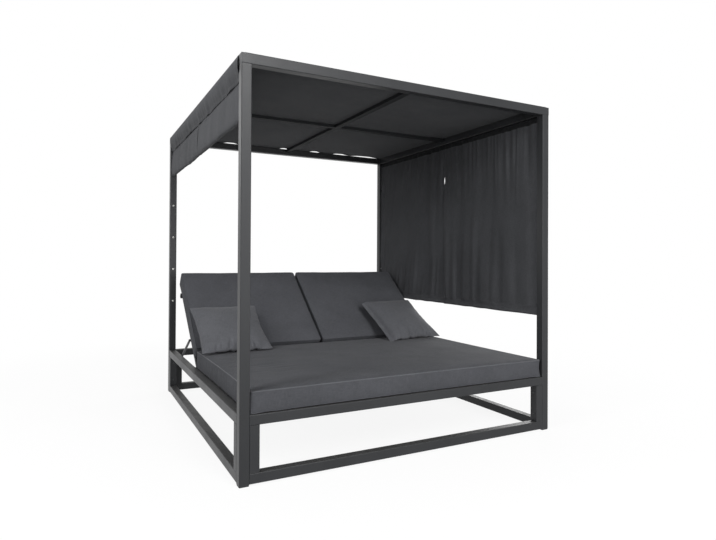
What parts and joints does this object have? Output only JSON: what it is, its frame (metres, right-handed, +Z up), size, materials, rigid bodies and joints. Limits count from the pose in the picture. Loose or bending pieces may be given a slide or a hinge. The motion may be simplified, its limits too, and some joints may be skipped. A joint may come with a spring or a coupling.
{
  "type": "outdoor daybed with canopy",
  "caption": "Square garden daybed: tube frame with a fabric roof, side curtains that raise and lower, a thick seat mattress, two reclining backs and scatter pillows.",
  "frame": {"origin": "middle of the footprint, on the ground under the feet", "axes": "+Z up, +Y from the open front towards the rear, +X along the front from left to right as one faces the seat"},
  "size_m": [2.0164, 2.1, 2.0523],
  "materials": {
    "coated_tube": "fine textured anthracite powder coat",
    "cast_metal": "satin dark powder coat",
    "bright_steel": "plain steel",
    "glide_plastic": "matte black",
    "cushion_cloth": "dark grey outdoor weave",
    "pillow_cloth": "dark grey outdoor weave",
    "canopy_cloth": "charcoal canopy cloth"
  },
  "bodies": {
    "base": {"post_front_left": "coated_tube", "post_front_right": "coated_tube", "post_rear_left": "coated_tube", "post_rear_right": "coated_tube", "glide_front_left": "glide_plastic", "glide_front_right": "glide_plastic", "glide_rear_left": "glide_plastic", "glide_rear_right": "glide_plastic", "front_upper_rail": "coated_tube", "front_lower_rail": "coated_tube", "front_upright_left": "coated_tube", "front_upright_right": "coated_tube", "rear_upper_rail": "coated_tube", "rear_lower_rail": "coated_tube", "rear_upright_left": "coated_tube", "rear_upright_right": "coated_tube", "left_upper_rail": "coated_tube", "left_lower_rail": "coated_tube", "left_upright_front": "coated_tube", "left_upright_rear": "coated_tube", "right_upper_rail": "coated_tube", "right_lower_rail": "coated_tube", "right_upright_front": "coated_tube", "right_upright_rear": "coated_tube", "top_rail_front": "coated_tube", "top_rail_rear": "coated_tube", "top_rail_left": "coated_tube", "top_rail_right": "coated_tube", "roof_bar_long": "coated_tube", "roof_bar_cross": "coated_tube", "roof_cover": "canopy_cloth", "centre_beam": "coated_tube", "seat_slat_deck": "coated_tube", "seat_cushion": "cushion_cloth", "hinge_pin_left_outer": "bright_steel", "hinge_pin_left_inner": "bright_steel", "hinge_pin_right_outer": "bright_steel", "hinge_pin_right_inner": "bright_steel", "rack_left_outer": "cast_metal", "rack_left_inner": "cast_metal", "rack_right_outer": "cast_metal", "rack_right_inner": "cast_metal", "curtain_left_front": "canopy_cloth", "curtain_left_rear": "canopy_cloth", "curtain_right_front": "canopy_cloth", "curtain_right_rear": "canopy_cloth"},
    "left_back": {"back_frame_left": "coated_tube"},
    "right_back": {"back_frame_right": "coated_tube"},
    "left_back_pad": {"back_cushion_left": "cushion_cloth"},
    "right_back_pad": {"back_cushion_right": "cushion_cloth"},
    "left_stay": {"back_stay_left": "cast_metal"},
    "right_stay": {"back_stay_right": "cast_metal"},
    "left_pillow": {"pillow_left": "pillow_cloth"},
    "right_pillow": {"pillow_right": "pillow_cloth"},
    "left_rod": {"curtain_rod_left": "coated_tube"},
    "right_rod": {"curtain_rod_right": "coated_tube"},
    "left_front_pin": {"rod_pin_left_front": "bright_steel"},
    "left_rear_pin": {"rod_pin_left_rear": "bright_steel"},
    "right_front_pin": {"rod_pin_right_front": "bright_steel"},
    "right_rear_pin": {"rod_pin_right_rear": "bright_steel"}
  },
  "joints": [
    {"name": "left_back_recline", "type": "hinge", "parent": "base", "child": "left_back", "pos_m": [-0.4875, 0.25, 0.318], "axis": [1, 0, 0], "range_deg": [-39.5, 10.5]},
    {"name": "right_back_recline", "type": "hinge", "parent": "base", "child": "right_back", "pos_m": [0.4875, 0.25, 0.318], "axis": [1, 0, 0], "range_deg": [-39.5, 10.5]},
    {"name": "left_pad_slide", "type": "slide", "parent": "left_back", "child": "left_back_pad", "axis": [0, 0.7716, 0.6361], "range_m": [-0.0985, 0.0265]},
    {"name": "right_pad_slide", "type": "slide", "parent": "right_back", "child": "right_back_pad", "axis": [0, 0.7716, 0.6361], "range_m": [-0.0985, 0.0265]},
    {"name": "left_stay_swing", "type": "hinge", "parent": "left_back", "child": "left_stay", "pos_m": [-0.4875, 0.45294, 0.48529], "axis": [1, 0, 0], "range_deg": [-18.3, 68.3]},
    {"name": "right_stay_swing", "type": "hinge", "parent": "right_back", "child": "right_stay", "pos_m": [0.4875, 0.45294, 0.48529], "axis": [1, 0, 0], "range_deg": [-18.3, 68.3]},
    {"name": "left_pillow_tip", "type": "hinge", "parent": "left_back", "child": "left_pillow", "pos_m": [-0.718, 0.42069, 0.17279], "axis": [1, 0, 0], "range_deg": [-6.2, 23.1]},
    {"name": "right_pillow_tip", "type": "hinge", "parent": "right_back", "child": "right_pillow", "pos_m": [0.69, 0.42069, 0.17279], "axis": [1, 0, 0], "range_deg": [-6.2, 23.1]},
    {"name": "left_rod_lower", "type": "slide", "parent": "base", "child": "left_rod", "axis": [0, 0, 1], "range_m": [-1.024, 0], "deforming": ["curtain_left_front", "curtain_left_rear"]},
    {"name": "right_rod_raise", "type": "slide", "parent": "base", "child": "right_rod", "axis": [0, 0, 1], "range_m": [0, 1.024], "deforming": ["curtain_right_front", "curtain_right_rear"]},
    {"name": "left_front_pin_slide", "type": "slide", "parent": "left_rod", "child": "left_front_pin", "axis": [0, -1, 0], "range_m": [0, 0.01]},
    {"name": "left_rear_pin_slide", "type": "slide", "parent": "left_rod", "child": "left_rear_pin", "axis": [0, 1, 0], "range_m": [0, 0.01]},
    {"name": "right_front_pin_slide", "type": "slide", "parent": "right_rod", "child": "right_front_pin", "axis": [0, -1, 0], "range_m": [0, 0.01]},
    {"name": "right_rear_pin_slide", "type": "slide", "parent": "right_rod", "child": "right_rear_pin", "axis": [0, 1, 0], "range_m": [0, 0.01]}
  ],
  "couplings": [
    {"joint": "left_pad_slide", "follows": "left_back_recline", "m_per_rad": 0.14215},
    {"joint": "right_pad_slide", "follows": "right_back_recline", "m_per_rad": 0.14215},
    {"joint": "left_stay_swing", "follows": "left_back_recline", "ratio": -1.7235},
    {"joint": "right_stay_swing", "follows": "right_back_recline", "ratio": -1.7235},
    {"joint": "left_pillow_tip", "follows": "left_back_recline", "ratio": -0.581},
    {"joint": "right_pillow_tip", "follows": "right_back_recline", "ratio": -0.581}
  ]
}
